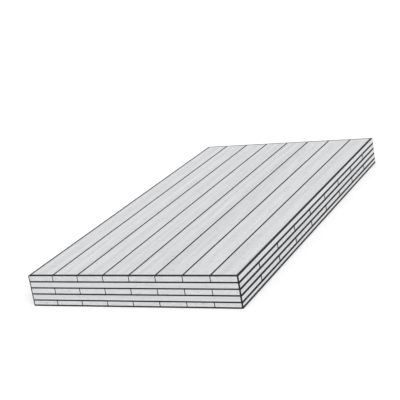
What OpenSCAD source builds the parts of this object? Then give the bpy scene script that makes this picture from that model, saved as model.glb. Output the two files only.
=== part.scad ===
// Stack of bamboo panels, laid crosswise to each other.
//
// Each panel is glued up from boards that lie side by side. The bottom and top panels, and every
// second one between them, have their boards along the stack; the others have them across it.
// Joints between boards are narrow V-grooves with a small open gap, and the edges of each panel
// are eased a little more, so that the panels stay apart as lines on the sides of the stack.
//
// X runs across the stack, Y along it and Z up. The origin is the middle of the underside.

/* [Stack] */
// Width of the stack
stack_w = 1220; // [800:10:1600]
// Length of the stack
stack_l = 2440; // [1600:10:3200]
// Number of panels, odd so that both faces have lengthwise boards
panels = 5; // [3:2:7]
// Thickness of one panel
panel_t = 35; // [20:1:50]

/* [Boards] */
// Boards side by side in a lengthwise panel
long_boards = 8; // [4:1:12]
// Boards side by side in a crosswise panel
cross_boards = 9; // [5:1:14]
// Open gap between two boards
joint_gap = 0.6; // [0.2:0.1:2]

/* [Arrises] */
// Bevel on a board along its joints
joint_arris = 1.5; // [0.5:0.5:4]
// Bevel round the outside of a panel
edge_arris = 3.5; // [1:0.5:8]

/* [Hidden] */
BAMBOO = "gainsboro";

function lengthwise(panel) = panel % 2 == 1;

// Whole boards in a panel: their number and their width both come from this.
function boards_in(panel) = round(lengthwise(panel) ? long_boards : cross_boards);

// The way the boards of a panel are counted, and the way that they run.
function span_across(panel) = lengthwise(panel) ? stack_w : stack_l;
function span_along(panel) = lengthwise(panel) ? stack_l : stack_w;

function board_w(panel) =
    (span_across(panel) - (boards_in(panel) - 1) * joint_gap) / boards_in(panel);
function board_name(panel, board) =
    str("panel", panel, lengthwise(panel) ? "_long" : "_cross", "_board", board);

// A rectangle centred on the origin whose corners are cut off at 45 degrees: by the first bevel
// on its left and by the second on its right.
module bevelled_rectangle(w, h, left, right) {
    x = w / 2;
    y = h / 2;
    polygon([
        [-x + left, -y], [x - right, -y], [x, -y + right], [x, y - right],
        [x - right, y], [-x + left, y], [-x, y - left], [-x, -y + left]
    ]);
}

// One board, along Y and centred on the origin. Its long section, its outline in plan and its
// end section each bevel four of its twelve edges.
module bevelled_board(w, l, t, left, right) {
    intersection() {
        rotate([90, 0, 0])
            linear_extrude(height = l, center = true)
                bevelled_rectangle(w, t, left, right);
        linear_extrude(height = t, center = true)
            bevelled_rectangle(w, l, left, right);
        rotate([90, 0, 90])
            linear_extrude(height = w, center = true)
                bevelled_rectangle(l, t, edge_arris, edge_arris);
    }
}

// A board where it lies in its panel. The outer side of the first and the last board is on the
// outside of the panel, and has the wider bevel.
module board(panel, board) {
    count = boards_in(panel);
    pitch = board_w(panel) + joint_gap;
    left = board == 1 ? edge_arris : joint_arris;
    right = board == count ? edge_arris : joint_arris;
    color(BAMBOO)
        translate([0, 0, (panel - 0.5) * panel_t])
            rotate([0, 0, lengthwise(panel) ? 0 : 90])
                translate([(board - (count + 1) / 2) * pitch, 0, 0])
                    bevelled_board(board_w(panel), span_along(panel), panel_t, left, right);
}

for (panel = [1 : panels], board = [1 : boards_in(panel)])
    board(panel, board);
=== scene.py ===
import math

import bmesh
import bpy
from mathutils import Matrix, Vector


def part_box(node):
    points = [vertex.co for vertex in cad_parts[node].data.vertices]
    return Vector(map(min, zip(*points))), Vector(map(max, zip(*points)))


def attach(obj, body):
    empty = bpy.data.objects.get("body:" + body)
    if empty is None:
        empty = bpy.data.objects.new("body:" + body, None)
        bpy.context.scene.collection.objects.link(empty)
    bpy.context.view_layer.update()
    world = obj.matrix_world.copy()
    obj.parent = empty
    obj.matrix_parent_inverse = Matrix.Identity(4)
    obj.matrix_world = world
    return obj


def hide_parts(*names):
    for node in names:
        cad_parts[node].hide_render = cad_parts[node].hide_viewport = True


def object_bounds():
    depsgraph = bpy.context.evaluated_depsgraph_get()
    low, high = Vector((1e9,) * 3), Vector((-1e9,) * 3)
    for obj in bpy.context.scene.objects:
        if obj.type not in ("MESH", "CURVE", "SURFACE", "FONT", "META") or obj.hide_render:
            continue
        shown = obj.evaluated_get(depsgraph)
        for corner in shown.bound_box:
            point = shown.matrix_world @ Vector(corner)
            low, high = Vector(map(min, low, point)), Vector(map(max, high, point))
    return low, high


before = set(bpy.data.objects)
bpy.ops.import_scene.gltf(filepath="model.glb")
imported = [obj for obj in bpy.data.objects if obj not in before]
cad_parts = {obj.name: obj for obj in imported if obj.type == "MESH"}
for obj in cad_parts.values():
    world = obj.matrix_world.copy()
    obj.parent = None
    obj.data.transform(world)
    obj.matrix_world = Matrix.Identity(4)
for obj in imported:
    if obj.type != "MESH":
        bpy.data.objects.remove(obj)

# A stack of cross-laid bamboo panels. Every board of the frame gets its own sawn and sealed
# board of laminated bamboo in the same place. All lengths are in metres.

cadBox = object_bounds()
lowCorner, highCorner = cadBox
print("frame loaded:", len(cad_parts), "boards")


# Node trees

def addNode(tree, kind, inputs=None, **settings):
    node = tree.nodes.new(kind)
    for key, value in settings.items():
        setattr(node, key, value)
    for key, value in (inputs or {}).items():
        plug(tree, node.inputs[key], value)
    return node


# Links a socket to the output of another node, or gives it a value of its own.
def plug(tree, socket, value):
    if isinstance(value, bpy.types.NodeSocket):
        tree.links.new(value, socket)
    else:
        socket.default_value = value


def maths(tree, operation, *values):
    node = addNode(tree, "ShaderNodeMath", operation=operation)
    for socket, value in zip(node.inputs, values):
        plug(tree, socket, value)
    return node.outputs[0]


# 0 where the value is at the start of the span, and 1 where it is at its end.
def fade(tree, value, span):
    inputs = {"Value": value, "From Min": span[0], "From Max": span[1]}
    return addNode(tree, "ShaderNodeMapRange", inputs, interpolation_type="SMOOTHSTEP").outputs[0]


def mix(tree, kind, factor, first, second):
    inputs = {"Factor": factor, "A": first, "B": second}
    return addNode(tree, "ShaderNodeMix", inputs, data_type=kind).outputs["Result"]


def scaled(tree, colour, factor):
    inputs = {0: colour, "Scale": factor}
    return addNode(tree, "ShaderNodeVectorMath", inputs, operation="SCALE").outputs[0]


def attribute(tree, name, output="Vector"):
    return addNode(tree, "ShaderNodeAttribute", attribute_name=name).outputs[output]


def split(tree, place):
    return addNode(tree, "ShaderNodeSeparateXYZ", {0: place}).outputs


# A random value and colour, the same wherever the keys are the same
def chanceFor(tree, *keys):
    place = addNode(tree, "ShaderNodeCombineXYZ", dict(zip("XYZ", keys))).outputs[0]
    return addNode(tree, "ShaderNodeTexWhiteNoise", {"Vector": place}).outputs


# A place in the grain, drawn out along the fibres and moved for each strip.
def drawnOut(tree, grain, shift, stretch):
    inputs = {0: grain, 1: (1, stretch, 1), 2: shift}
    return addNode(tree, "ShaderNodeVectorMath", inputs, operation="MULTIPLY_ADD").outputs[0]


def noise(tree, grain, shift, look):
    inputs = {
        "Vector": drawnOut(tree, grain, shift, look["stretch"]),
        "Scale": look["scale"],
        "Detail": look["detail"],
        "Roughness": look["roughness"],
    }
    return addNode(tree, "ShaderNodeTexNoise", inputs).outputs[0]


def patches(tree, grain, shift, look):
    return fade(tree, noise(tree, grain, shift, look), look["span"])


# A length that goes up and down by as much as the look's reach.
def wander(tree, grain, shift, look):
    amount = noise(tree, grain, shift, look)
    return maths(tree, "MULTIPLY_ADD", amount, 2 * look["reach"], -look["reach"])


# 1 where a surface is seen itself, in a reflection or through glass, and 0 where it only lights
# other things.
def seenDirectly(tree):
    path = addNode(tree, "ShaderNodeLightPath").outputs
    seen = maths(tree, "MAXIMUM", path["Is Camera Ray"], path["Is Glossy Ray"])
    return maths(tree, "MAXIMUM", seen, path["Is Transmission Ray"])


# Laminated bamboo: strips side by side and in layers, with fibre bundles along them and a
# knuckle every foot or so. The pattern is solid, so the faces, edges and ends agree.
# A feature fades in over its span, darkens the wood by its depth and stands out by its relief.

stripLook = {
    "width": 0.0193,
    "thickness": 0.007,
    "layers": 5,
    "tones": (0.945, 1.055),    # of the darkest strip and the lightest
    "grainShift": 40.0,         # so that no grain goes on from one strip to the next
    "glue": {"span": (0.00045, 0.0001), "depth": 0.12, "relief": -0.6},
}


# The chance that the strip at a point has for its own, and the glue lines round the strip
def layStrips(tree, grain, number):
    look = stripLook
    across, along, through = split(tree, grain)
    inLayers = maths(tree, "MULTIPLY_ADD", through, 1 / look["thickness"], look["layers"] / 2)
    inLayers = maths(tree, "MAXIMUM", inLayers, 0.5)    # no glue on the faces of the board
    inLayers = maths(tree, "MINIMUM", inLayers, look["layers"] - 0.5)
    layer = maths(tree, "FLOOR", inLayers)
    layerShift = chanceFor(tree, layer, number)["Value"]
    inStrips = maths(tree, "MULTIPLY_ADD", across, 1 / look["width"], layerShift)
    chance = chanceFor(tree, maths(tree, "FLOOR", inStrips), layer, number)
    toSide = maths(tree, "MULTIPLY", maths(tree, "PINGPONG", inStrips, 0.5), look["width"])
    toLayer = maths(tree, "MULTIPLY", maths(tree, "PINGPONG", inLayers, 0.5), look["thickness"])
    glue = fade(tree, maths(tree, "MINIMUM", toSide, toLayer), look["glue"]["span"])
    return chance, glue


knuckleLook = {
    "spacing": (0.24, 0.36),
    "line": {"span": (0.0018, 0.0004), "depth": 0.13, "relief": -0.3},
    "band": {"span": (0.011, 0.003), "depth": 0.07, "relief": 0.0},
    "wander": {"scale": 110.0, "stretch": 0.2, "detail": 2.0, "roughness": 0.5, "reach": 0.004},
}


# The knuckles of each strip have a spacing and a start of their own.
def layKnuckles(tree, grain, shift, chance):
    look = knuckleLook
    chances = addNode(tree, "ShaderNodeSeparateColor", {0: chance["Color"]}).outputs
    spacing = mix(tree, "FLOAT", chances["Red"], *look["spacing"])
    along = maths(tree, "ADD", split(tree, grain)["Y"], wander(tree, grain, shift, look["wander"]))
    inCanes = maths(tree, "ADD", maths(tree, "DIVIDE", along, spacing), chances["Green"])
    toKnuckle = maths(tree, "MULTIPLY", maths(tree, "PINGPONG", inCanes, 0.5), spacing)
    line = fade(tree, toKnuckle, look["line"]["span"])
    band = fade(tree, toKnuckle, look["band"]["span"])
    return line, band


grainLook = {
    "bundles": {
        "scale": 950.0, "stretch": 0.004,
        "span": (0.45, 0.22), "depth": 0.20, "relief": 0.2,
    },
    "fibres": {
        "scale": 620.0, "stretch": 0.012, "detail": 3.0, "roughness": 0.6,
        "span": (0.3, 0.7), "depth": 0.0, "relief": 0.2,
    },
    "streaks": {
        "scale": 130.0, "stretch": 0.02, "detail": 3.0, "roughness": 0.55,
        "span": (0.35, 0.7), "depth": 0.08, "relief": 0.0,
    },
    "clouds": {
        "scale": 9.0, "stretch": 0.4, "detail": 2.0, "roughness": 0.5,
        "span": (0.3, 0.7), "depth": 0.05, "relief": 0.0,
    },
}


# Fibre bundles: dots on the ends, and long fine lines on the faces
def layBundles(tree, grain, shift):
    look = grainLook["bundles"]
    inputs = {"Vector": drawnOut(tree, grain, shift, look["stretch"]), "Scale": look["scale"]}
    distance = addNode(tree, "ShaderNodeTexVoronoi", inputs).outputs["Distance"]
    return fade(tree, distance, look["span"])


# Charcoal sealer on the arrises

sealLook = {
    "colour": (0.013, 0.013, 0.014),
    "roughness": 0.8,
    "fill": 0.6,                # how much of the wood's relief it levels
    "span": (0.0002, -0.0002),
    "cornerRound": 0.003,
    "waver": {"scale": 70.0, "stretch": 1.0, "detail": 3.0, "roughness": 0.5, "reach": 0.0003},
    "blotches": {
        "scale": 160.0, "stretch": 1.0, "detail": 3.0, "roughness": 0.5,
        "span": (0.3, 0.7), "tones": (0.8, 1.35),
    },
}


# How much of the surface is sealed at a point, and the sealer's colour there
def laySeal(tree, grain):
    look = sealLook
    still = (0, 0, 0)
    sideGap, endGap, faceGap = split(tree, attribute(tree, "sealGaps"))
    gap = maths(tree, "SMOOTH_MIN", sideGap, endGap, look["cornerRound"])
    gap = maths(tree, "SMOOTH_MIN", gap, faceGap, look["cornerRound"])
    gap = maths(tree, "ADD", gap, wander(tree, grain, still, look["waver"]))
    blotches = patches(tree, grain, still, look["blotches"])
    tone = mix(tree, "FLOAT", blotches, *look["blotches"]["tones"])
    return fade(tree, gap, look["span"]), scaled(tree, look["colour"], tone)


woodLook = {
    "colour": (0.755, 0.760, 0.777),
    "roughness": (0.54, 0.72),
    "knuckleGloss": 0.05,
    "specular": 0.3,
    "bump": 0.35,
    "bumpHeight": 0.0004,
}


def makeBambooMaterial():
    material = bpy.data.materials.new("greyBamboo")
    material.use_nodes = True
    tree = material.node_tree
    shader = tree.nodes["Principled BSDF"]
    shader.inputs["Specular IOR Level"].default_value = woodLook["specular"]

    grain = attribute(tree, "grainPlace")
    number = maths(tree, "ROUND", attribute(tree, "boardNumber", "Fac"))
    chance, glue = layStrips(tree, grain, number)
    shift = scaled(tree, chance["Color"], stripLook["grainShift"])
    knuckleLine, knuckleBand = layKnuckles(tree, grain, shift, chance)
    fibres = patches(tree, grain, shift, grainLook["fibres"])
    bundles = maths(tree, "MULTIPLY", layBundles(tree, grain, shift), fibres)
    features = (
        (glue, stripLook["glue"]),
        (knuckleLine, knuckleLook["line"]),
        (knuckleBand, knuckleLook["band"]),
        (fibres, grainLook["fibres"]),
        (bundles, grainLook["bundles"]),
        (patches(tree, grain, shift, grainLook["streaks"]), grainLook["streaks"]),
        (patches(tree, grain, shift, grainLook["clouds"]), grainLook["clouds"]),
    )
    tone = mix(tree, "FLOAT", chance["Value"], *stripLook["tones"])
    relief = 0.0
    for amount, look in features:
        lightness = maths(tree, "MULTIPLY_ADD", amount, -look["depth"], 1.0)
        tone = maths(tree, "MULTIPLY", tone, lightness)
        relief = maths(tree, "MULTIPLY_ADD", amount, look["relief"], relief)

    sealed, sealColour = laySeal(tree, grain)
    woodColour = scaled(tree, woodLook["colour"], tone)
    colour = mix(tree, "VECTOR", sealed, woodColour, sealColour)
    plug(tree, shader.inputs["Base Color"], colour)

    rough = mix(tree, "FLOAT", fibres, *woodLook["roughness"])
    rough = maths(tree, "MULTIPLY_ADD", knuckleBand, -woodLook["knuckleGloss"], rough)
    rough = mix(tree, "FLOAT", sealed, rough, sealLook["roughness"])
    plug(tree, shader.inputs["Roughness"], rough)

    showing = maths(tree, "MULTIPLY_ADD", sealed, -sealLook["fill"], 1.0)
    relief = maths(tree, "MULTIPLY", relief, showing)
    inputs = {"Height": relief, "Strength": woodLook["bump"], "Distance": woodLook["bumpHeight"]}
    bump = addNode(tree, "ShaderNodeBump", inputs)
    plug(tree, shader.inputs["Normal"], bump.outputs["Normal"])
    return material


# Boards. A board's own directions are 0 across it, 1 along it and 2 through it.

boardShape = {
    "outerArris": 0.0035,      # round the outside of a panel
    "jointArris": 0.0015,      # along the joints
    "arrisSegments": 3,
    "rim": (0.022, 0.022, 0.0155),   # strips beside the arrises that carry the sealer's edge
    "sections": {"long": 4, "cross": 3},
}

# How far the sealer laps past the arrises onto each kind of face of the stack
sealLaps = {
    "wide": {"side": 0.0115, "end": 0.0130, "joint": 0.0037},
    "end": {"top": 0.0, "foot": 0.0060, "corner": 0.0043, "layer": 0.0006, "joint": 0.0006},
    "side": {"top": 0.0, "foot": 0.0110, "corner": 0.0005, "layer": 0.0032, "joint": 0.0048},
    "hidden": 0.010,      # faces inside the joints and between the panels
    "arris": 0.001,       # how deep in the sealer the arrises themselves are
}

closeBy = 1e-5      # places nearer to each other than this are taken as one


def sideOf(number):
    return 1 if number > 0 else -1


# A board's size and place. Its outer planes, pairs of direction and side, are those of its
# faces that are on the outside of the stack.
def measureBoard(node):
    low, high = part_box(node)
    kind = node.split("_")[1]       # after the panel's name, which way its boards run
    axes = (0, 1, 2) if kind == "long" else (1, 0, 2)
    turn = math.radians(0 if kind == "long" else 90)
    outer = set()
    for axis, stackAxis in enumerate(axes):
        if low[stackAxis] - lowCorner[stackAxis] < closeBy:
            outer.add((axis, -1))
        if highCorner[stackAxis] - high[stackAxis] < closeBy:
            outer.add((axis, 1))
    return {
        "half": Vector([(high - low)[axis] / 2 for axis in axes]),
        "place": Matrix.Translation((low + high) / 2) @ Matrix.Rotation(turn, 4, "Z"),
        "outer": outer,
        "endAxis": axes.index(1),   # the board's direction that runs along the stack
        "sections": boardShape["sections"][kind],
    }


# The bevel that belongs on the arris between two faces of a board
def arrisWidth(board, place, axes):
    if 0 in axes and (0, sideOf(place[0])) not in board["outer"]:
        return boardShape["jointArris"]
    return boardShape["outerArris"]


def cutAt(bm, axis, place):
    normal = Matrix.Identity(3)[axis]
    point = normal * place
    geometry = bm.verts[:] + bm.edges[:] + bm.faces[:]
    bmesh.ops.bisect_plane(bm, geom=geometry, dist=closeBy, plane_co=point, plane_no=normal)


def sawnBlock(board):
    half = board["half"]
    bm = bmesh.new()
    bmesh.ops.create_cube(bm, size=2.0)     # 1 m each way from its middle
    bmesh.ops.scale(bm, vec=half, verts=bm.verts)
    for axis in range(3):
        for side in (-1, 1):
            cutAt(bm, axis, side * (half[axis] - boardShape["rim"][axis]))
    for number in range(1, board["sections"]):
        cutAt(bm, 1, half[1] * (2 * number / board["sections"] - 1))
    weights = bm.edges.layers.float.new("bevel_weight_edge")
    for edge in bm.edges:
        middle = (edge.verts[0].co + edge.verts[1].co) / 2
        axes = [axis for axis in range(3) if half[axis] - abs(middle[axis]) < closeBy]
        if len(axes) == 2:
            edge[weights] = arrisWidth(board, middle, axes) / boardShape["outerArris"]
    block = bpy.data.meshes.new("block")
    bm.to_mesh(block)
    bm.free()
    return block


# Rounds the arrises and returns the finished mesh.
def easeArrises(block, name):
    worker = bpy.data.objects.new("worker", block)
    bpy.context.scene.collection.objects.link(worker)
    bevel = worker.modifiers.new("arrises", "BEVEL")
    bevel.limit_method = "WEIGHT"
    bevel.width = boardShape["outerArris"]
    bevel.segments = boardShape["arrisSegments"]
    bevel.profile = 0.5
    bevel.use_clamp_overlap = False
    graph = bpy.context.evaluated_depsgraph_get()
    mesh = bpy.data.meshes.new_from_object(worker.evaluated_get(graph))
    mesh.name = name
    bpy.data.objects.remove(worker)
    bpy.data.meshes.remove(block)
    return mesh


# How far the sealer laps onto a face from the arris that it shares with its neighbour
def lapOf(board, place, face, neighbour):
    if (face, sideOf(place[face])) not in board["outer"]:
        return sealLaps["hidden"]
    outer = (neighbour, sideOf(place[neighbour])) in board["outer"]
    if face == 2:
        if not outer:
            return sealLaps["wide"]["joint"]
        return sealLaps["wide"]["end" if neighbour == board["endAxis"] else "side"]
    laps = sealLaps["end" if face == board["endAxis"] else "side"]
    if neighbour != 2:
        return laps["corner" if outer else "joint"]
    if not outer:
        return laps["layer"]
    return laps["top" if place[2] > 0 else "foot"]


# How far a point is from the sealer, in each direction: negative on the arrises
def sealGapsAt(board, place):
    gaps = [board["half"][axis] - abs(place[axis]) for axis in range(3)]
    onFace = [axis for axis in range(3) if gaps[axis] < closeBy]
    if not onFace:
        return [-sealLaps["arris"]] * 3
    face = onFace[0]
    for axis in range(3):
        if axis != face:
            gaps[axis] -= arrisWidth(board, place, (axis, face)) + lapOf(board, place, face, axis)
    gaps[face] = boardShape["rim"][face]
    return gaps


def writeAttributes(mesh, board, number):
    places = [vertex.co.copy() for vertex in mesh.vertices]
    gaps = [sealGapsAt(board, place) for place in places]
    for name, vectors in (("grainPlace", places), ("sealGaps", gaps)):
        layer = mesh.attributes.new(name, "FLOAT_VECTOR", "POINT")
        layer.data.foreach_set("vector", [part for vector in vectors for part in vector])
    layer = mesh.attributes.new("boardNumber", "FLOAT", "POINT")
    layer.data.foreach_set("value", [number] * len(places))


# The map that a board's finish is baked on: the board is unfolded face by face, and its length
# is cut into sections that lie beside each other.

bakeMap = {
    "hiddenScale": 0.2,     # faces that the stack hides take less of the map
    "margin": 0.004,
    "leastFacing": 0.6,     # how squarely a face of an arris must face the side that it goes with
    "tries": 40,
    "tryStep": 0.04,
}


# The faces of each side of the board, section by section
def gatherSides(mesh, board):
    sides = {}
    for face in mesh.polygons:
        squarely = [axis for axis in (2, 1) if abs(face.normal[axis]) > bakeMap["leastFacing"]]
        axis = squarely[0] if squarely else 0
        along = face.center.y / board["half"].y / 2 + 0.5
        section = int(along * board["sections"]) if axis != 1 else 0
        sides.setdefault((axis, sideOf(face.normal[axis]), section), []).append(face)
    return sides


# A sheet of the map: its size, and the place on it of every corner of its faces
def flatten(mesh, faces, axis, scale):
    first, second = ((1, 2), (0, 2), (1, 0))[axis]
    places = {}
    for face in faces:
        for corner in face.loop_indices:
            co = mesh.vertices[mesh.loops[corner].vertex_index].co
            places[corner] = Vector((co[first], co[second])) * scale
    left = min(place.x for place in places.values())
    bottom = min(place.y for place in places.values())
    inset = Vector((bakeMap["margin"] / 2 - left, bakeMap["margin"] / 2 - bottom))
    places = {corner: place + inset for corner, place in places.items()}
    width = max(place.x for place in places.values()) + bakeMap["margin"] / 2
    height = max(place.y for place in places.values()) + bakeMap["margin"] / 2
    return width, height, places


# Lays sheets on shelves of one width, and returns their corners and the height of the whole.
def shelve(sheets, wide):
    corners = []
    left = bottom = tall = 0.0
    for width, height, places in sheets:
        if left + width > wide:
            bottom += tall
            left = tall = 0.0
        corners.append(Vector((left, bottom)))
        left += width
        tall = max(tall, height)
    return corners, bottom + tall


# Tries shelf widths, and keeps the one that fits the smallest square.
def packSquare(sheets):
    widest = max(width for width, height, places in sheets)
    packings = []
    for step in range(bakeMap["tries"]):
        wide = widest * (1 + step * bakeMap["tryStep"]) + closeBy
        corners, tall = shelve(sheets, wide)
        packings.append((max(wide, tall), corners))
    return min(packings, key=lambda packing: packing[0])


def unfold(mesh, board):
    sheets = []
    for (axis, side, section), faces in gatherSides(mesh, board).items():
        scale = 1.0 if (axis, side) in board["outer"] else bakeMap["hiddenScale"]
        sheets.append(flatten(mesh, faces, axis, scale))
    sheets.sort(key=lambda sheet: (-sheet[1], -sheet[0]))    # the tallest first, then the widest
    square, corners = packSquare(sheets)
    layer = mesh.uv_layers.new(name="OFBake")
    for (width, height, places), start in zip(sheets, corners):
        for corner, place in places.items():
            layer.uv[corner].vector = (place + start) / square


def makeBoard(node, number, material):
    board = measureBoard(node)
    mesh = easeArrises(sawnBlock(board), "bamboo_" + node)
    writeAttributes(mesh, board, number)
    unfold(mesh, board)
    mesh.transform(board["place"])
    mesh.materials.append(material)
    piece = bpy.data.objects.new(mesh.name, mesh)
    bpy.context.scene.collection.objects.link(piece)
    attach(piece, "root")
    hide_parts(node)


# The top and bottom panels show most, so their boards are made first.
def fromMiddle(node):
    low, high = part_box(node)
    return round(abs(low.z + high.z - lowCorner.z - highCorner.z) / closeBy)


def makeBoards():
    bamboo = makeBambooMaterial()
    nodes = sorted(sorted(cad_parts), key=fromMiddle, reverse=True)
    for number, node in enumerate(nodes):
        makeBoard(node, number, bamboo)


makeBoards()
print("boards made")


# Floor

floorLook = {
    "radius": 30.0,
    "segments": 96,
    "colour": (0.82, 0.82, 0.82),
    "roughness": 0.9,
    "lift": 0.28,         # light of its own where it is seen, up to white
}


def makeFloor():
    bm = bmesh.new()
    segments = floorLook["segments"]
    bmesh.ops.create_circle(bm, cap_ends=True, segments=segments, radius=floorLook["radius"])
    bmesh.ops.translate(bm, vec=(0, 0, lowCorner.z), verts=bm.verts)
    mesh = bpy.data.meshes.new("floor")
    bm.to_mesh(mesh)
    bm.free()
    material = bpy.data.materials.new("paleFloor")
    material.use_nodes = True
    tree = material.node_tree
    shader = tree.nodes["Principled BSDF"]
    shader.inputs["Base Color"].default_value = (*floorLook["colour"], 1)
    shader.inputs["Roughness"].default_value = floorLook["roughness"]
    shader.inputs["Specular IOR Level"].default_value = 0.0
    shader.inputs["Emission Color"].default_value = (1, 1, 1, 1)
    lift = maths(tree, "MULTIPLY", seenDirectly(tree), floorLook["lift"])
    plug(tree, shader.inputs["Emission Strength"], lift)
    mesh.materials.append(material)
    floor = bpy.data.objects.new("floor", mesh)
    bpy.context.scene.collection.objects.link(floor)


makeFloor()
print("floor laid")


# Light

lightPlan = {
    "sky": 0.75,
    "sunFrom": (0.58, -0.58, 0.57),
    "sunStrength": 1.25,
    "sunAngle": 35,
}


def makeSky():
    world = bpy.data.worlds.new("paleSky")
    bpy.context.scene.world = world
    world.use_nodes = True
    tree = world.node_tree
    background = tree.nodes["Background"]
    background.inputs["Color"].default_value = (1, 1, 1, 1)
    sky = lightPlan["sky"]
    strength = maths(tree, "MULTIPLY_ADD", seenDirectly(tree), 1 - sky, sky)    # white where seen
    plug(tree, background.inputs["Strength"], strength)


def makeSun():
    lamp = bpy.data.lights.new("sun", "SUN")
    lamp.energy = lightPlan["sunStrength"]
    lamp.angle = math.radians(lightPlan["sunAngle"])
    sun = bpy.data.objects.new("sun", lamp)
    sun.rotation_mode = "QUATERNION"
    sun.rotation_quaternion = Vector(lightPlan["sunFrom"]).to_track_quat("Z", "Y")
    bpy.context.scene.collection.objects.link(sun)


makeSky()
makeSun()
print("lights set")


# Camera

cameraPlan = {
    "azimuth": 26.7,
    "elevation": 16.2,
    "roll": -9.8,
    "distance": 5.50,     # this and the next two are in stack widths
    "right": -0.124,
    "up": 0.129,
    "fieldOfView": 20.5,
}


def makeCamera():
    azimuth = math.radians(cameraPlan["azimuth"])
    elevation = math.radians(cameraPlan["elevation"])
    roll = math.radians(cameraPlan["roll"])
    back = Vector((
        math.sin(azimuth) * math.cos(elevation),
        -math.cos(azimuth) * math.cos(elevation),
        math.sin(elevation),
    ))
    level = Vector((math.cos(azimuth), math.sin(azimuth), 0))
    rise = back.cross(level)
    right = math.cos(roll) * level + math.sin(roll) * rise
    up = back.cross(right)
    base = (lowCorner + highCorner) / 2
    base.z = lowCorner.z
    place = back * cameraPlan["distance"] + right * cameraPlan["right"] + up * cameraPlan["up"]
    place = base + place * (highCorner.x - lowCorner.x)
    turn = Matrix((right, up, back)).transposed().to_4x4()
    data = bpy.data.cameras.new("camera")
    data.angle = math.radians(cameraPlan["fieldOfView"])
    camera = bpy.data.objects.new("camera", data)
    camera.matrix_world = Matrix.Translation(place) @ turn
    bpy.context.scene.collection.objects.link(camera)
    bpy.context.scene.camera = camera


makeCamera()
print("camera set")
bpy.context.scene.view_settings.view_transform = "Standard"
